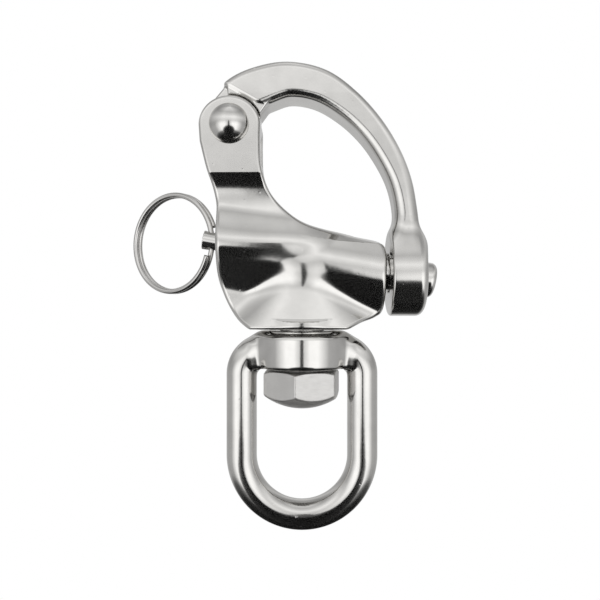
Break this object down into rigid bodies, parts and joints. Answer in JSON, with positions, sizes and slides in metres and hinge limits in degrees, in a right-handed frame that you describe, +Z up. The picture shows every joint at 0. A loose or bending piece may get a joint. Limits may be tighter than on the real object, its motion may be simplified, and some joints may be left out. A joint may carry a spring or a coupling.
{
  "type": "swivel snap shackle",
  "caption": "Stainless swivel-eye snap shackle: a hinged jaw latched by a spring-loaded plunger with a pull ring, on a casting that swivels on a wire eye.",
  "frame": {"origin": "centre of the eye's round bow, on the swivel axis, where a line or a second shackle bears", "axes": "+Z up the swivel axis from the eye to the jaw, +X towards the side where the plunger latches the jaw, Y through the thickness; pictured along +Y"},
  "size_m": [0.0585, 0.0188, 0.0859],
  "materials": {
    "cast_steel": "mirror-polished investment-cast stainless steel with small casting pits",
    "turned_steel": "polished turned stainless steel",
    "wire_steel": "bright drawn stainless spring wire"
  },
  "bodies": {
    "eye": {"swivel_eye": "cast_steel"},
    "casting": {"shackle_body": "cast_steel", "swivel_bolt": "turned_steel", "hinge_rivet": "turned_steel", "plunger_spring": "wire_steel"},
    "jaw": {"jaw": "cast_steel"},
    "plunger": {"plunger": "turned_steel"},
    "ring": {"pull_ring": "wire_steel"}
  },
  "joints": [
    {"name": "swivel_spin", "type": "hinge", "parent": "eye", "child": "casting", "pos_m": [0, 0, 0.019], "axis": [0, 0, 1], "continuous": true},
    {"name": "jaw_hinge", "type": "hinge", "parent": "casting", "child": "jaw", "pos_m": [-0.013, 0, 0.06], "axis": [0, -1, 0], "range_deg": [0, 104]},
    {"name": "plunger_slide", "type": "slide", "parent": "casting", "child": "plunger", "axis": [-0.9842, 0, 0.1771], "range_m": [0, 0.0092], "stiffness_N_per_m": 500, "springref_m": -0.006, "deforming": ["plunger_spring"]},
    {"name": "ring_swing", "type": "hinge", "parent": "plunger", "child": "ring", "pos_m": [-0.01675, 0, 0.03951], "axis": [0, 0, 1], "range_deg": [-20, 80]}
  ]
}
